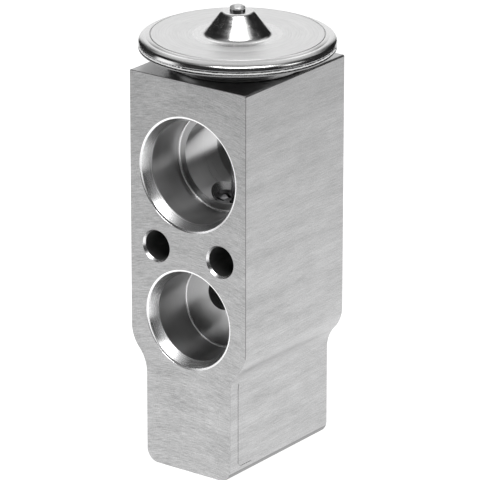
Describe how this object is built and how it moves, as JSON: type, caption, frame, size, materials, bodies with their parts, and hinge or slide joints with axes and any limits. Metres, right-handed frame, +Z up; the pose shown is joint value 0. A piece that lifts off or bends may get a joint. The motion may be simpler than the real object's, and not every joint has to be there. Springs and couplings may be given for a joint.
{
  "type": "refrigerant expansion valve",
  "caption": "Block-type refrigerant expansion valve: a drilled aluminium block with tube ports, a welded steel power head on top and a sprung ball valve inside.",
  "frame": {"origin": "centre of the block's bottom face, on the valve axis", "axes": "+Z up the valve axis to the power head, -Y out of the front face with the outlet port, +X to the right as seen from the front"},
  "size_m": [0.036, 0.036, 0.0859],
  "materials": {
    "block": "milled front and rear, extruded sides",
    "housing_steel": "turned stainless steel",
    "diaphragm_steel": "rolled stainless foil",
    "cover_steel": "pressed stainless steel, satin",
    "plug_steel": "turned steel, welded in",
    "stopper_metal": "turned",
    "head_seal_rubber": "moulded",
    "rod_steel": "ground",
    "rod_seal_rubber": "moulded",
    "washer_plastic": "stamped",
    "damping_steel": "bent strip",
    "retainer_steel": "stamped spring steel",
    "ball_steel": "lapped",
    "carrier_steel": "turned",
    "damper_steel": "stamped spring steel",
    "spring_steel": "coiled wire, ends ground",
    "screw_brass": "turned",
    "screw_seal_rubber": "moulded"
  },
  "bodies": {
    "valve_housing": {"valve_body": "block", "head_lower_housing": "housing_steel", "pressure_diaphragm": "diaphragm_steel", "head_upper_cover": "cover_steel", "charge_plug": "plug_steel", "head_seal_ring": "head_seal_rubber", "rod_seal_ring": "rod_seal_rubber", "rod_seal_washer": "washer_plastic", "rod_damping_spring": "damping_steel", "seal_retainer": "retainer_steel", "valve_spring": "spring_steel"},
    "valve_train": {"diaphragm_stopper": "stopper_metal", "sensing_rod": "rod_steel", "valve_ball": "ball_steel", "ball_carrier": "carrier_steel", "damper_spring": "damper_steel"},
    "screw_ring": {"screw_seal_ring": "screw_seal_rubber"},
    "screw": {"adjusting_screw": "screw_brass"}
  },
  "joints": [
    {"name": "valve_lift", "type": "slide", "parent": "valve_housing", "child": "valve_train", "axis": [0, 0, 1], "range_m": [-0.0008, 0], "stiffness_N_per_m": 10000, "springref_m": 0.001, "deforming": ["valve_spring", "pressure_diaphragm"]},
    {"name": "screw_advance", "type": "slide", "parent": "valve_housing", "child": "screw_ring", "axis": [0, 0, 1], "range_m": [-0.001, 0.001]},
    {"name": "screw_turn", "type": "hinge", "parent": "screw_ring", "child": "screw", "pos_m": [0, 0, 0.005], "axis": [0, 0, 1], "range_deg": [-360, 360]}
  ],
  "couplings": [
    {"joint": "screw_advance", "follows": "screw_turn", "m_per_rad": 0.000159}
  ]
}
